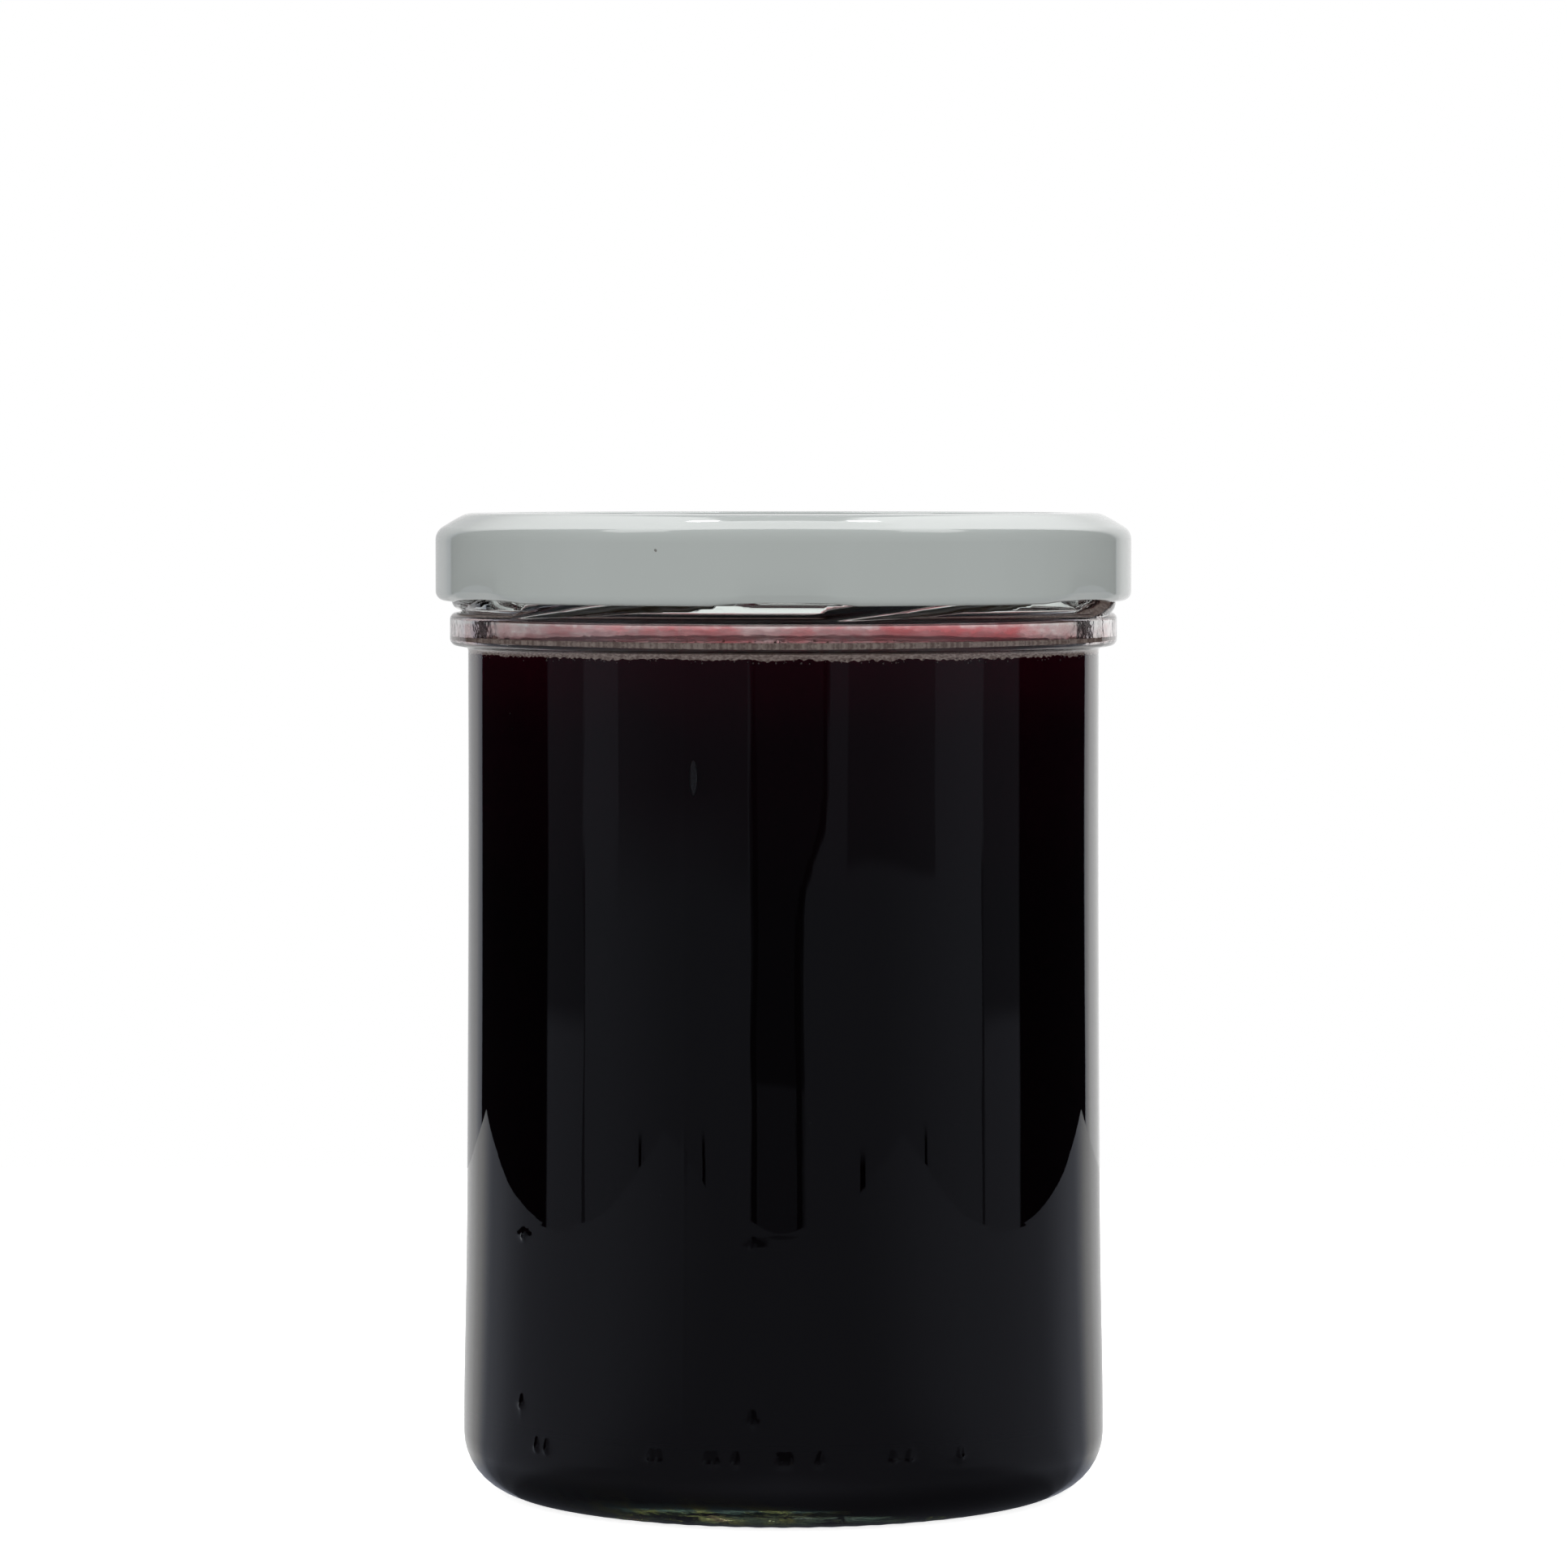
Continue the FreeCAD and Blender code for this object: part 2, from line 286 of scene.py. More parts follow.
class Changing:
    """A number that changes over a surface. Sums and products of it add Math nodes."""

    def __init__(self, finish, socket):
        self.finish = finish
        self.socket = socket

    def maths(self, operation, *numbers):
        """Adds one Math node that works on the numbers."""
        sockets = dict(enumerate(numbers))
        return self.finish.node("ShaderNodeMath", {"operation": operation}, sockets)

    def __add__(self, other):
        return self.maths("ADD", self, other)

    def __radd__(self, other):
        return self.maths("ADD", other, self)

    def __sub__(self, other):
        return self.maths("SUBTRACT", self, other)

    def __rsub__(self, other):
        return self.maths("SUBTRACT", other, self)

    def __mul__(self, other):
        return self.maths("MULTIPLY", self, other)

    def __rmul__(self, other):
        return self.maths("MULTIPLY", other, self)

    def __truediv__(self, other):
        return self.maths("DIVIDE", self, other)

    def __pow__(self, other):
        return self.maths("POWER", self, other)

    def __abs__(self):
        return self.maths("ABSOLUTE", self)

    def above(self, edge, soft):
        """1 where the number is well over the edge and 0 where it is well under."""
        ends = {"Value": self, "From Min": edge - soft / 2, "From Max": edge + soft / 2}
        return self.finish.node("ShaderNodeMapRange", {"interpolation_type": "SMOOTHSTEP"}, ends)

    def within(self, low, high, soft):
        """1 where the number lies between the two edges and 0 beyond them."""
        return self.above(low, soft) * (1 - self.above(high, soft))


class Finish:
    """The nodes of a material or of the world."""

    def __init__(self, owner):
        self.owner = owner
        owner.use_nodes = True
        self.tree = owner.node_tree
        self.tree.nodes.clear()

    def node(self, kind, settings={}, inputs={}, output=0):
        """Adds a node: its settings first, then values or links for its sockets in use."""
        made = self.tree.nodes.new(kind)
        for name, value in settings.items():
            setattr(made, name, value)
        in_use = [socket for socket in made.inputs if socket.enabled]
        for key, value in inputs.items():
            found = in_use[key] if isinstance(key, int) else made.inputs[key]
            if isinstance(value, Changing):
                self.tree.links.new(value.socket, found)
            else:
                found.default_value = value
        shown = [socket for socket in made.outputs if socket.enabled]
        return Changing(self, shown[output] if isinstance(output, int) else made.outputs[output])

    def place(self, axis):
        """The distance along one axis, in metres."""
        where = self.node("ShaderNodeTexCoord", output="Object")
        return self.node("ShaderNodeSeparateXYZ", {}, {0: where}, axis)

    def grain(self, size, detail=2.0, stretch=(1.0, 1.0, 1.0), roughness=0.5):
        """Noise from 0 to 1 whose grain is about the size given, in millimetres."""
        where = self.node("ShaderNodeTexCoord", output="Object")
        scaled = self.node("ShaderNodeMapping", {}, {"Vector": where, "Scale": stretch})
        sizes = {"Vector": scaled, "Scale": 1 / (size * MM), "Detail": detail, "Roughness": roughness}
        return self.node("ShaderNodeTexNoise", {}, sizes)

    def blend(self, amount, first, second):
        """Between two colours, the second where the amount is 1."""
        sockets = {0: amount, 1: first, 2: second}
        return self.node("ShaderNodeMix", {"data_type": "RGBA"}, sockets)

    def bump(self, height, depth):
        """A relief as deep as given, in millimetres, from a height between 0 and 1."""
        return self.node("ShaderNodeBump", {}, {"Height": height, "Distance": depth * MM})

    def paint(self, kind="ShaderNodeBsdfPrincipled", **sockets):
        """A shader whose sockets are named with underscores for spaces."""
        return self.node(kind, {}, {name.replace("_", " "): value for name, value in sockets.items()})

    def mixed(self, amount, first, second):
        """Between two shaders, the second where the amount is 1."""
        return self.node("ShaderNodeMixShader", {}, {0: amount, 1: first, 2: second})

    def show(self, shader, kind="ShaderNodeOutputMaterial"):
        """Ends the tree in this shader."""
        made = self.tree.nodes.new(kind)
        self.tree.links.new(shader.socket, made.inputs["Surface"])


clear_glass = Finish(bpy.data.materials.new("clear_glass"))
ripple = clear_glass.grain(11.0, 1.0, (1.0, 1.0, 0.35))
mottle = clear_glass.grain(1.7, 2.0)
height = clear_glass.place("Z") / MM
on_bead = height.within(BEAD_LOW_Z - 0.2, BEAD_TOP_Z + 0.2, 0.4)
worn = 0.12 + 0.6 * abs(clear_glass.place("X") / MM).above(33.0, 6.0)
clear_glass.show(clear_glass.paint(
    Base_Color=(0.95, 0.985, 0.965, 1),
    Roughness=0.0,
    IOR=1.52,
    Transmission_Weight=1.0,
    Normal=clear_glass.bump(ripple + mottle * on_bead * worn, 0.05),
))
jar.data.materials.append(clear_glass.owner)
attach(jar, "root")
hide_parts("glass_jar")


# The jelly. Strained dark berry jelly that was poured hot and set against the glass. It is
# so dark that red shows only near its top, where light from the headspace passes through a
# little of it; that red is painted into its colour. Its underside carries a painted glint:
# green-gold mirror patches and a thin mirror arc, seen through the foot of the jar.

FILL_Z = 103.3
MENISCUS = 0.65
INTO_WALL = 0.3
DEEP_RED = (0.011, 0.0022, 0.005, 1)

jelly_line = bent_line([
    (0, FLOOR_Z - INTO_WALL, 0), (INNER_R + INTO_WALL, FLOOR_EDGE_Z - INTO_WALL, 6.8),
    (INNER_R + INTO_WALL, FLARE_LOW_Z, FLARE_LOW_BEND),
    (BORE_R + INTO_WALL, BORE_LOW_Z, FLARE_LOW_BEND),
    (BORE_R + INTO_WALL, FILL_Z + MENISCUS, 0), (BORE_R, FILL_Z + MENISCUS - 0.1, 0),
    (BORE_R - 0.8, FILL_Z, 1.2), (0, FILL_Z, 0),
])


def settled(r, z, direction):
    """The jelly has sunk a little at the back of the jar, and climbs less there."""
    behind = max(0.0, sin(radians(direction)))
    climb = 0.55 * behind ** 0.5 * max(0.0, z - FILL_Z) / MENISCUS
    sunk = 0.5 * behind * r / BORE_R if z > FILL_Z - 0.15 else 0
    return r, z - climb - sunk


jelly = turned("jelly", divided(jelly_line, lambda r, z: 6.0), evenly(1.25), settled)

dark_jelly = Finish(bpy.data.materials.new("dark_berry_jelly"))
cloud = dark_jelly.grain(9.0, 3.0)
depth = FILL_Z - dark_jelly.place("Z") / MM + (cloud - 0.5) * 5.0
# Painted light: the base colour turns redder towards the top, where light from the headspace passes
# through only a little jelly.
painted_top_red = dark_jelly.blend(depth.above(5.0, 12.0), (0.130, 0.0045, 0.024, 1), (0.040, 0.003, 0.012, 1))
dark_jelly.show(dark_jelly.paint(
    Base_Color=dark_jelly.blend(depth.above(21.0, 26.0), painted_top_red, DEEP_RED),
    Roughness=0.3,
    Specular_IOR_Level=0.0,
))
jelly_surface = Finish(bpy.data.materials.new("jelly_surface"))
skin = jelly_surface.grain(5.0, 3.0)
jelly_surface.show(jelly_surface.paint(
    Base_Color=jelly_surface.blend(skin, (0.030, 0.0022, 0.0068, 1), (0.012, 0.001, 0.003, 1)),
    Roughness=0.12,
    Specular_IOR_Level=0.4,
    Normal=jelly_surface.bump(skin, 0.15),
))
jelly_base = Finish(bpy.data.materials.new("jelly_base"))
under_jelly = jelly_base.paint(Base_Color=DEEP_RED, Roughness=0.3, Specular_IOR_Level=0.0)
glint_pattern = jelly_base.grain(2.4, 4.0, (0.6, 1.0, 1.0), 0.65)
hue = jelly_base.grain(4.0, 3.0, (0.6, 1.0, 1.0), 0.6)
base_x = jelly_base.place("X") / MM
base_y = jelly_base.place("Y") / MM
from_middle = (base_x * base_x + base_y * base_y) ** 0.5
# Painted glint: green and gold mirror patches on the jelly's underside stand in for light carried
# along the glass floor from the wall behind.
green_to_gold = jelly_base.blend(hue.above(0.5, 0.1), (0.14, 0.28, 0.22, 1), (0.50, 0.50, 0.09, 1))
painted_glimmer = jelly_base.paint(
    Base_Color=jelly_base.blend(hue.above(0.62, 0.05), green_to_gold, (0.60, 0.34, 0.10, 1)),
    Metallic=1.0,
    Roughness=0.0,
    Normal=jelly_base.bump(glint_pattern, 0.12),
)
# A painted reflection arc beyond the floor's edge: partly the real mirror of glass against jelly,
# made three times as strong and kept to the left.
glass_meets_jelly = jelly_base.node("ShaderNodeFresnel", {}, {"IOR": 0.945})
floor_edge = 1 - from_middle.above(30.3, 0.3)
painted_glint_mask = floor_edge * glint_pattern.above(0.46, 0.12) * base_x.within(-26.0, 19.0, 6.0)
painted_arc_mask = (1 - floor_edge) * (glass_meets_jelly * 3.0) * (1 - base_x.above(-2.0, 22.0))
jelly_base.show(jelly_base.mixed(painted_glint_mask + painted_arc_mask, under_jelly, painted_glimmer))
for finish in (dark_jelly, jelly_surface, jelly_base):
    jelly.data.materials.append(finish.owner)
for face in jelly.data.polygons:
    if face.center.z > (FILL_Z - 0.2) * MM and face.normal.z > 0.3:
        face.material_index = 1
    elif face.center.z < 9.0 * MM and face.normal.z < -0.1:
        face.material_index = 2
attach(jelly, "root")
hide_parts("fruit_jelly")


# Foam. Fine froth that rose while the jelly was poured and set as a thin grey-brown rim
# where the jelly's surface meets the glass, with a ragged lower edge. It is given a faint
# painted glow, so it looks a little lit from within.

FOAM_TOP_Z = 105.1
FOAM_LOW_Z = 103.05


def ragged(r, z, direction):
    """Lets the foam's lower edge run up and down, and the foam sink with the jelly behind."""
    place = Vector((cos(radians(direction)), sin(radians(direction)), 0))
    wander = noise.noise(place * 9) * 0.25 + noise.noise(place * 70) * 0.3
    behind = max(0.0, place.y) ** 0.5
    if z < FOAM_LOW_Z + 0.3:
        return r, z + wander - 0.6 * behind
    return r, z - 2.1 * behind


foam_line = [
    Vector((BORE_R - 0.5, FOAM_TOP_Z - 0.6)), Vector((BORE_R - 0.6, FOAM_LOW_Z + 0.2)),
    Vector((BORE_R + 0.42, FOAM_LOW_Z)), Vector((BORE_R + 0.42, FOAM_TOP_Z - 0.7)),
    Vector((BORE_R + 0.2, FOAM_TOP_Z)),
]
foam = turned("foam_rim", foam_line, evenly(0.4), ragged, ring=True)

froth = Finish(bpy.data.materials.new("set_froth"))
cells = froth.grain(0.5, 3.0)
walls = cells.above(0.5, 0.35)
froth.show(froth.paint(
    Base_Color=froth.blend(walls, (0.42, 0.30, 0.27, 1), (0.95, 0.84, 0.77, 1)),
    # Painted light: the froth glows faintly, though it has no light of its own.
    Emission_Color=froth.blend(walls, (0.50, 0.35, 0.31, 1), (1.0, 0.78, 0.70, 1)),
    Emission_Strength=0.13,
    Roughness=0.6,
    Specular_IOR_Level=0.1,
    Normal=froth.bump(cells, 0.1),
))
foam.data.materials.append(froth.owner)
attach(foam, "root")


# Bubbles. Single bubbles of the froth, up to a third of a millimetre across, that stuck to
# the glass round the jelly's edge.

BUBBLE_LOW_Z = 102.6
BUBBLE_TOP_Z = 103.6

bubble_skin = Finish(bpy.data.materials.new("bubble_skin"))
bubble_skin.show(bubble_skin.paint(
    Base_Color=(0.80, 0.62, 0.58, 1),
    Roughness=0.25,
    Specular_IOR_Level=0.2,
))


def scattered(name, inputs, build, finish):
    """A plain mesh from a Geometry Nodes tree with named inputs."""
    tree = bpy.data.node_groups.new(name, "GeometryNodeTree")
    tree.interface.new_socket("Geometry", in_out="OUTPUT", socket_type="NodeSocketGeometry")
    sockets = {}
    for label, (kind, value) in inputs.items():
        sockets[label] = tree.interface.new_socket(label, in_out="INPUT", socket_type=kind)
    start = tree.nodes.new("NodeGroupInput")
    joined = tree.nodes.new("GeometryNodeRealizeInstances")
    painted = tree.nodes.new("GeometryNodeSetMaterial")
    painted.inputs["Material"].default_value = finish
    end = tree.nodes.new("NodeGroupOutput")
    tree.links.new(build(tree, start), joined.inputs["Geometry"])
    tree.links.new(joined.outputs[0], painted.inputs["Geometry"])
    tree.links.new(painted.outputs[0], end.inputs[0])
    maker = bpy.data.objects.new(name + "_maker", bpy.data.meshes.new(name + "_maker"))
    scene.collection.objects.link(maker)
    modifier = maker.modifiers.new(name, "NODES")
    modifier.node_group = tree
    for label, (kind, value) in inputs.items():
        modifier[sockets[label].identifier] = value
    depsgraph = bpy.context.evaluated_depsgraph_get()
    mesh = bpy.data.meshes.new_from_object(maker.evaluated_get(depsgraph))
    mesh.name = name
    bpy.data.objects.remove(maker)
    piece = bpy.data.objects.new(name, mesh)
    scene.collection.objects.link(piece)
    return piece


def random_value(tree, low, high, seed, vector=False):
    """A random number or vector for each point, the same in every run."""
    made = tree.nodes.new("FunctionNodeRandomValue")
    made.data_type = "FLOAT_VECTOR" if vector else "FLOAT"
    in_use = [socket for socket in made.inputs if socket.enabled]
    in_use[0].default_value = low
    in_use[1].default_value = high
    made.inputs["Seed"].default_value = seed
    return next(socket for socket in made.outputs if socket.enabled)


def bubble_ring(tree, start):
    """Points on a circle, each shaken a little and given a small ball."""
    circle = tree.nodes.new("GeometryNodeCurvePrimitiveCircle")
    points = tree.nodes.new("GeometryNodeCurveToPoints")
    shaken = tree.nodes.new("GeometryNodeSetPosition")
    ball = tree.nodes.new("GeometryNodeMeshIcoSphere")
    placed = tree.nodes.new("GeometryNodeInstanceOnPoints")
    smooth = tree.nodes.new("GeometryNodeSetShadeSmooth")
    ball.inputs["Subdivisions"].default_value = 1
    tree.links.new(start.outputs["Ring radius"], circle.inputs["Radius"])
    tree.links.new(circle.outputs["Curve"], points.inputs["Curve"])
    tree.links.new(start.outputs["Bubbles"], points.inputs["Count"])
    tree.links.new(points.outputs["Points"], shaken.inputs["Geometry"])
    nearest = (-0.5 * MM, -0.5 * MM, BUBBLE_LOW_Z * MM)
    furthest = (0.5 * MM, 0.5 * MM, BUBBLE_TOP_Z * MM)
    shake = random_value(tree, nearest, furthest, 11, True)
    tree.links.new(shake, shaken.inputs["Offset"])
    tree.links.new(start.outputs["Bubble radius"], ball.inputs["Radius"])
    tree.links.new(ball.outputs["Mesh"], smooth.inputs["Geometry"])
    tree.links.new(shaken.outputs["Geometry"], placed.inputs["Points"])
    tree.links.new(smooth.outputs["Geometry"], placed.inputs["Instance"])
    tree.links.new(random_value(tree, 0.25, 1.0, 5), placed.inputs["Scale"])
    return placed.outputs["Instances"]


bubbles = scattered("foam_bubbles", {
    "Ring radius": ("NodeSocketFloat", (BORE_R + 0.15) * MM),
    "Bubbles": ("NodeSocketInt", 1500),
    "Bubble radius": ("NodeSocketFloat", 0.15 * MM),
}, bubble_ring, bubble_skin.owner)
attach(bubbles, "root")


# Residue. A film of pink jelly that splashed on the inside of the neck when the jar was
# filled, thin enough to let the light through, with thicker streaks and bare patches.

FILM_LOW_Z = 103.1
FILM_TOP_Z = 107.4

film_line = bent_line([
    (BORE_R - 0.08, FILM_LOW_Z, 0), (BORE_R + 0.1, FILM_LOW_Z, 0),
    (BORE_R + 0.1, FILM_TOP_Z, 0), (BORE_R - 0.08, FILM_TOP_Z, 0),
])
film = turned("jelly_film", film_line, evenly(1.5), ring=True)

pink_film = Finish(bpy.data.materials.new("pink_jelly_film"))
patches = pink_film.grain(9.0, 3.0, (1.0, 1.0, 1.6))
streaks = pink_film.grain(1.6, 4.0, (1.0, 1.0, 2.2), 0.65)
off_centre = abs(pink_film.place("X")) / MM
film_top = pink_film.place("Z") / MM + (streaks - 0.5) * 1.5
splashed = (1 - 0.65 * off_centre.above(31.5, 3.0)) * (1 - film_top.above(106.9, 0.6))
dabs = (patches * 0.5 + streaks * 0.5).above(0.40, 0.24) * splashed
near_jelly = 1 - film_top.above(105.0, 1.0)
coated = dabs + (1 - dabs) * near_jelly * 0.7
thick = (patches * 0.7 + streaks * 0.3).above(0.53, 0.14)
bare = pink_film.paint("ShaderNodeBsdfTransparent", Color=(1, 1, 1, 1))
thin_tint = pink_film.paint("ShaderNodeBsdfTransparent", Color=(0.94, 0.81, 0.825, 1))
deep_tint = pink_film.paint("ShaderNodeBsdfTransparent", Color=(0.95, 0.66, 0.68, 1))
milky = pink_film.paint("ShaderNodeBsdfTranslucent", Color=(1.0, 0.76, 0.78, 1))
tinted = pink_film.mixed(thick, thin_tint, deep_tint)
pink_film.show(pink_film.mixed(coated, bare, pink_film.mixed(0.10 + 0.3 * near_jelly, tinted, milky)))
film.data.materials.append(pink_film.owner)
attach(film, "root")


# The sealing ring. Soft pale compound that was cast into the lid's channel and took the
# print of the glass rim when the lid was twisted down.

compound = Finish(bpy.data.materials.new("sealing_compound"))
dimples = compound.grain(1.2, 3.0)
compound.show(compound.paint(
    Base_Color=compound.blend(dimples, (0.62, 0.61, 0.58, 1), (0.72, 0.71, 0.68, 1)),
    Roughness=0.55,
    Normal=compound.bump(dimples, 0.03),
))
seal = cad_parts["sealing_ring"]
seal.data.materials.clear()
seal.data.materials.append(compound.owner)


# The lid. Tinplate drawn into a cap, roller-coated outside with white gloss enamel and
# curled inward at its lower edge. The enamel is coloured pale grey: painted shade of the
# white lid lit from behind. Six lugs are pressed in from the curl to grip the threads, and
# each leaves a lens-shaped flat on the skirt.

SHEET = 0.25
CAP_R = 42.7
CAP_TOP_Z = 120.2
CAP_LOW_Z = 109.45
PANEL_Z = 119.25
BUTTON_RING_Z = 119.4
CURL_R = 41.0
CURL_TOP_Z = 111.7
LUGS = 6
LUG_REACH = 1.05
LUG_HALF_WIDTH = 4.6
LUG_EASE = 2.9
LUG_TOP_Z = 110.6
DENT_TOP_Z = 111.2
DENT_SLOPE = tan(radians(28.0))
DENT_HALF_TURN = degrees(sqrt(2 * (DENT_TOP_Z - CAP_LOW_Z) * DENT_SLOPE / CAP_R))
DENT_LIFT = 0.42
LID_STEP = 1.0
CAP_OUTSIDE = [
    (0, 118.8, 0), (8.0, 118.85, 12.0), (12.4, BUTTON_RING_Z, 1.5), (14.2, BUTTON_RING_Z, 1.2),
    (15.2, PANEL_Z, 2.0), (34.4, PANEL_Z, 0.8), (35.1, CAP_TOP_Z, 0.8), (38.8, CAP_TOP_Z, 3.25),
    (40.4, CAP_TOP_Z - 0.83, 12.0), (CAP_R, CAP_TOP_Z - 2.24, 1.9), (CAP_R, CAP_LOW_Z, 1.15),
    (CURL_R, CAP_LOW_Z, 0.5), (CURL_R, CURL_TOP_Z, 0.5), (42.15, CURL_TOP_Z, 0),
]


def beside(corners, gap):
    """The same bent line, moved by the gap to the right of its run, with concentric bends."""
    moved = []
    for index, (r, z, bend) in enumerate(corners):
        here = Vector((r, z))
        runs = []
        if index > 0:
            runs.append((here - Vector(corners[index - 1][:2])).normalized())
        if index < len(corners) - 1:
            runs.append((Vector(corners[index + 1][:2]) - here).normalized())
        rights = [Vector((run.y, -run.x)) for run in runs]
        mitre = (rights[0] + rights[-1]).normalized()
        corner = here + mitre * (gap / mitre.dot(rights[0]))
        turns_left = runs[0].x * runs[-1].y - runs[0].y * runs[-1].x > 0
        new_bend = bend + (gap if turns_left else -gap) if bend else 0
        moved.append((corner.x, corner.y, new_bend))
    return moved


def pressed(r, z, direction):
    """The six lugs: the skirt is pressed flat over each, and the curl is pushed inward."""
    if z > 112.2 or r < 40.0:
        return r, z
    turn = apart(direction, FRONT) % (360 / LUGS)
    turn = radians(min(turn, 360 / LUGS - turn))
    flat = CAP_R - (DENT_TOP_Z - z) * DENT_SLOPE
    reach = r * cos(turn)
    eased = (reach + flat - sqrt((reach - flat) ** 2 + 0.003)) / 2
    r_here = eased / cos(turn) if r > 41.5 else r
    if r < 41.35 and z < LUG_TOP_Z:
        off = abs(r * sin(turn))
        tongue = max(0.0, 1.0 - max(0.0, off - LUG_HALF_WIDTH) / LUG_EASE)
        r_here = r - LUG_REACH * tongue * min(1.0, (LUG_TOP_Z - z) / 0.35)
    lift = max(0.0, 1 - (degrees(turn) / DENT_HALF_TURN) ** 2)
    low = max(0.0, 1 - (z - CAP_LOW_Z) / 1.6)
    return r_here, z + DENT_LIFT * lift * low


def lid_gap(r, z):
    """Close rows for the curl and the lugs."""
    return 0.25 if z < 111.8 and r > 40.0 else 6.0


lid_inside = bent_line(beside(CAP_OUTSIDE, SHEET))
lid_line = lid_inside + bent_line(CAP_OUTSIDE)[::-1]
lid = turned("lid_cap", divided(lid_line, lid_gap), evenly(LID_STEP), pressed)

enamel = Finish(bpy.data.materials.new("enamel_painted_grey"))
peel = enamel.grain(2.6, 2.0)
fleck = enamel.grain(1.1, 0.0)
dust = fleck.above(0.895, 0.02)
# Painted shade: the base colour is the pale grey of the white enamel as it looks lit from behind. The
# dark specks are dust.
enamel.show(enamel.paint(
    Base_Color=enamel.blend(dust, (0.366, 0.392, 0.381, 1), (0.16, 0.16, 0.15, 1)),
    Roughness=0.45,
    Specular_IOR_Level=0.2,
    Coat_Weight=1.0,
    Coat_Roughness=0.025,
    Normal=enamel.bump(peel, 0.004),
))
gold_lacquer = Finish(bpy.data.materials.new("gold_lacquer"))
spread = gold_lacquer.grain(6.0, 2.0)
gold_lacquer.show(gold_lacquer.paint(
    Base_Color=gold_lacquer.blend(spread, (0.30, 0.245, 0.13, 1), (0.36, 0.30, 0.17, 1)),
    Roughness=0.35,
    Specular_IOR_Level=0.4,
))
lid.data.materials.append(enamel.owner)
lid.data.materials.append(gold_lacquer.owner)
inner_faces = (len(divided(lid_inside, lid_gap)) - 1) * len(evenly(LID_STEP))
for face in lid.data.polygons[:inner_faces]:
    face.material_index = 1
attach(lid, "root")
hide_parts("lid")


# The studio. A pale table top, and a world with a lit white wall behind the jar, a wide
# lamp overhead with two small ones beneath it, dark screens at both sides, and a dark stand
# in a dim room in front. Glass and enamel mirror it, and an even dome lights the rest.

TABLE_SIDE = 0.385
TABLE_FRONT = 0.43
TABLE_BACK = 0.372
COOL = (0.90, 0.96, 1.13, 1)
WHITE = (1, 1, 1, 1)

floor_mesh = bpy.data.meshes.new("floor")
floor_mesh.from_pydata([
    (-TABLE_SIDE, -TABLE_FRONT, 0), (TABLE_SIDE, -TABLE_FRONT, 0),
    (TABLE_SIDE, TABLE_BACK, 0), (-TABLE_SIDE, TABLE_BACK, 0),
], [], [(0, 1, 2, 3)])
floor = bpy.data.objects.new("floor", floor_mesh)
scene.collection.objects.link(floor)


def in_degrees(finish, right, ahead):
    """The turn from straight ahead towards the right, between -180 and 180 degrees."""
    return finish.node("ShaderNodeMath", {"operation": "ARCTAN2"}, {0: right, 1: ahead}) * (180 / pi)


pale_floor = Finish(bpy.data.materials.new("pale_floor"))
is_camera = pale_floor.node("ShaderNodeLightPath", output="Is Camera Ray")
is_glossy = pale_floor.node("ShaderNodeLightPath", output="Is Glossy Ray")
is_through = pale_floor.node("ShaderNodeLightPath", output="Is Transmission Ray")
mirrored = (is_glossy + is_through).above(0.5, 0.1)
floor_x = pale_floor.place("X")
floor_y = pale_floor.place("Y")
# Painted light and shade of the table as glass and enamel mirror it: brighter behind the jar, where
# the wall and lamps light it.
from_behind = abs(in_degrees(pale_floor, abs(floor_x) - 0.033, floor_y + 0.013))
painted_floor_light = 0.13 + 0.09 * (1 - from_behind.above(140.0, 50.0))
painted_floor_light = painted_floor_light + 0.10 * (1 - from_behind.above(66.0, 26.0))
painted_floor_light = painted_floor_light + 0.38 * (1 - from_behind.above(43.0, 16.0))
painted_floor_light = painted_floor_light + 0.10 * (1 - from_behind.above(32.0, 8.0))
from_axis = (floor_x * floor_x + floor_y * floor_y) ** 0.5
# Painted shadow of the jar round its foot, seen only in reflections.
painted_floor_light = painted_floor_light * (0.35 + 0.65 * from_axis.above(0.043, 0.012))
top_coat = pale_floor.paint("ShaderNodeBsdfDiffuse", Color=(0.8, 0.8, 0.8, 1))
own_light = pale_floor.paint("ShaderNodeEmission", Color=WHITE, Strength=is_camera * 0.85)
plain = pale_floor.node("ShaderNodeAddShader", {}, {0: top_coat, 1: own_light})
floor_tone = pale_floor.blend(painted_floor_light.above(0.45, 0.5), COOL, WHITE)
seen_in_glass = pale_floor.paint("ShaderNodeEmission", Color=floor_tone, Strength=painted_floor_light)
pale_floor.show(pale_floor.mixed(mirrored, plain, seen_in_glass))
floor.data.materials.append(pale_floor.owner)

# What glass and enamel mirror. Angles are in degrees: bearing from behind the jar, aside
# from in front of it, and rise above the horizon. Each light is laid over the one before.

WALL_SIDE = 37.0
SCREEN_SIDE = 85.3
SCREEN_TOP = 45.0
LAMP_SIDE = 92.0
LAMP_LOW = 58.0
LAMP_TOP = 70.0
LAMP_LIGHT = 2.9
SMALL_LAMP_SIDE = 12.5
SMALL_LAMP_RISE = 56.0
SMALL_LAMP_LIGHT = 14.0
ROOM_LOW_RISE = -3.0
STAND_LEFT = -12.0
STAND_RIGHT = 7.2

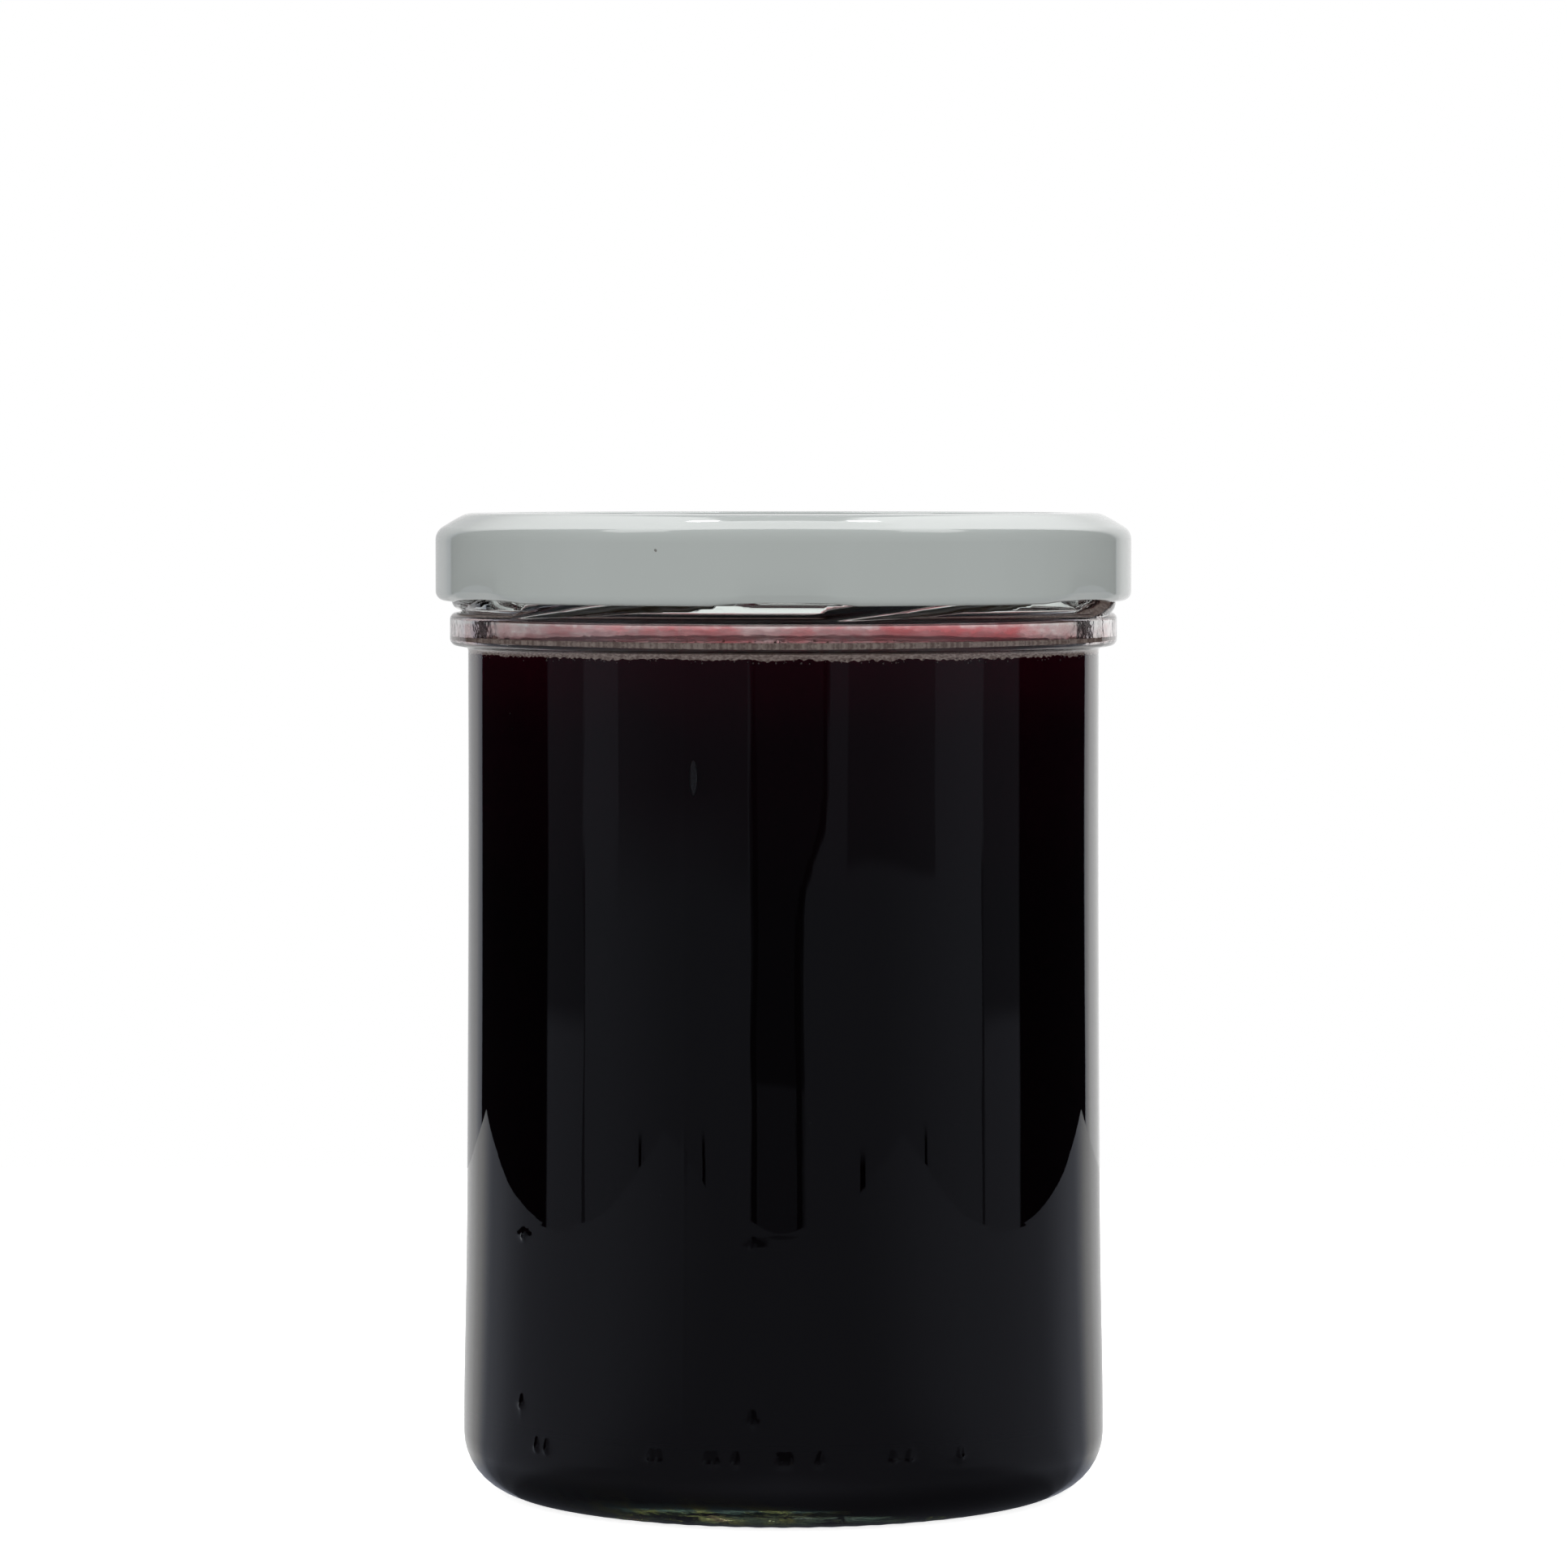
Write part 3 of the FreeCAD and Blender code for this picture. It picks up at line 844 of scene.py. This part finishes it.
scene.world = bpy.data.worlds.new("studio")
studio = Finish(scene.world)
ray = studio.node("ShaderNodeTexCoord", output="Generated")
ray_x = studio.node("ShaderNodeSeparateXYZ", {}, {0: ray}, "X")
ray_y = studio.node("ShaderNodeSeparateXYZ", {}, {0: ray}, "Y")
ray_z = studio.node("ShaderNodeSeparateXYZ", {}, {0: ray}, "Z")
waver = studio.node("ShaderNodeTexNoise", {}, {"Vector": ray, "Scale": 45.0, "Detail": 1.0})
bearing = in_degrees(studio, ray_x, ray_y)
aside = in_degrees(studio, ray_x, 0 - ray_y) + (waver - 0.5) * 2.5
rise = ray_z.maths("ARCSINE", ray_z) * (180 / pi)
side = abs(bearing)
rightward = bearing.above(0.0, 8.0)


def laid(under, brightness, mask):
    """One light laid over what is behind it."""
    return under + (brightness - under) * mask


room = 0.13 + 0.06 * abs(aside).above(50.0, 40.0)
shade = aside.within(-62.0, -13.0, 0.8) * rise.above(ROOM_LOW_RISE, 0.8)
shade = shade + aside.within(23.0, 56.0, 0.8) * rise.above(-3.12, 0.12)
shade = shade + abs(aside).within(77.0, 100.0, 1.0) * rise.above(-4.2, 0.3) * 1.2
room = room * (1 - 0.4 * shade)
edge_strip = abs(aside).within(76.0, 77.2, 0.4) * (1 - rise.above(ROOM_LOW_RISE, 0.4))
room = laid(room, 0.07, edge_strip)

right_edge = STAND_RIGHT + 9.2 * rise.above(ROOM_LOW_RISE, 0.6)
dark_stand = aside.above(STAND_LEFT, 0.8) * (1 - (aside - right_edge).above(0.0, 0.8))
left_border = 1 - abs(aside - STAND_LEFT - 1.5).above(0.9, 0.4)
right_border = 1 - abs(aside - right_edge + 1.6).above(0.9, 0.4)
room = laid(room, 0.035 + 0.04 * (1 - rise.above(-4.54, 0.08)), dark_stand)
room = laid(room, 0.015, dark_stand * left_border)
room = laid(room, 0.015, dark_stand * right_border)
leg_marks = abs(abs(aside) - 40.5).within(11.2, 12.8, 0.5) * (1 - rise.above(-5.1, 0.2))
room = laid(room, 0.0, leg_marks)
room = laid(room, 0.005, side.within(WALL_SIDE, SCREEN_SIDE, 1.5) * (1 - rise.above(SCREEN_TOP, 6.0)))

wall_light = 0.62 + 0.33 * rightward + 0.3 * (1 - side.above(6.0, 10.0)) * (1 - rightward)
wall_light = wall_light * (1 - 0.45 * side.above(33.0, 10.0))
wall_light = wall_light + 0.06 * (rise - 20.0) * rise.above(20.0, 1.0)
room = laid(room, wall_light, (1 - side.above(WALL_SIDE, 1.0)) * (1 - rise.above(60.0, 1.5)))
room = laid(room, 0.55, (1 - side.above(9.5, 3.0)) * rise.within(30.0, LAMP_LOW, 1.5))
lamp = (1 - side.above(LAMP_SIDE, 6.0)) * rise.within(LAMP_LOW, LAMP_TOP, 1.5)
room = laid(room, LAMP_LIGHT, lamp)
lamp_off = ((side - SMALL_LAMP_SIDE) * 0.52) ** 2.0 + (rise - SMALL_LAMP_RISE) ** 2.0
room = laid(room, SMALL_LAMP_LIGHT, 1 - lamp_off.above(2.0, 1.0))

dome = (1.0 + 0.8 * rise.above(45.0, 90.0)) * (0.9 + 0.1 * ray_y * ray_y - 0.1 * ray_x * ray_x)
to_camera = studio.node("ShaderNodeLightPath", output="Is Camera Ray")
to_glossy = studio.node("ShaderNodeLightPath", output="Is Glossy Ray")
to_through = studio.node("ShaderNodeLightPath", output="Is Transmission Ray")
light = laid(laid(dome, room, (to_glossy + to_through).above(0.5, 0.1)), 1.0, to_camera)
tone = studio.blend(light.above(0.45, 0.5), COOL, WHITE)
sky = studio.node("ShaderNodeBackground", {}, {"Color": tone, "Strength": light})
studio.show(sky, "ShaderNodeOutputWorld")
scene.world.cycles.sampling_method = "NONE"


# The camera. It stands 0.8 m in front of the jar, a little above the lid, and looks slightly
# down through a long lens.

CAMERA_Y = -0.8
CAMERA_Z = 0.124
CAMERA_DOWN = 2.66

camera = bpy.data.objects.new("camera", bpy.data.cameras.new("camera"))
scene.collection.objects.link(camera)
camera.data.sensor_fit = "VERTICAL"
camera.data.sensor_height = 36.0
camera.data.lens = 149.42
camera.location = (0.0, CAMERA_Y, CAMERA_Z)
camera.rotation_euler = (radians(90.0 - CAMERA_DOWN), 0.0, 0.0)
scene.camera = camera

scene.view_settings.view_transform = "Standard"
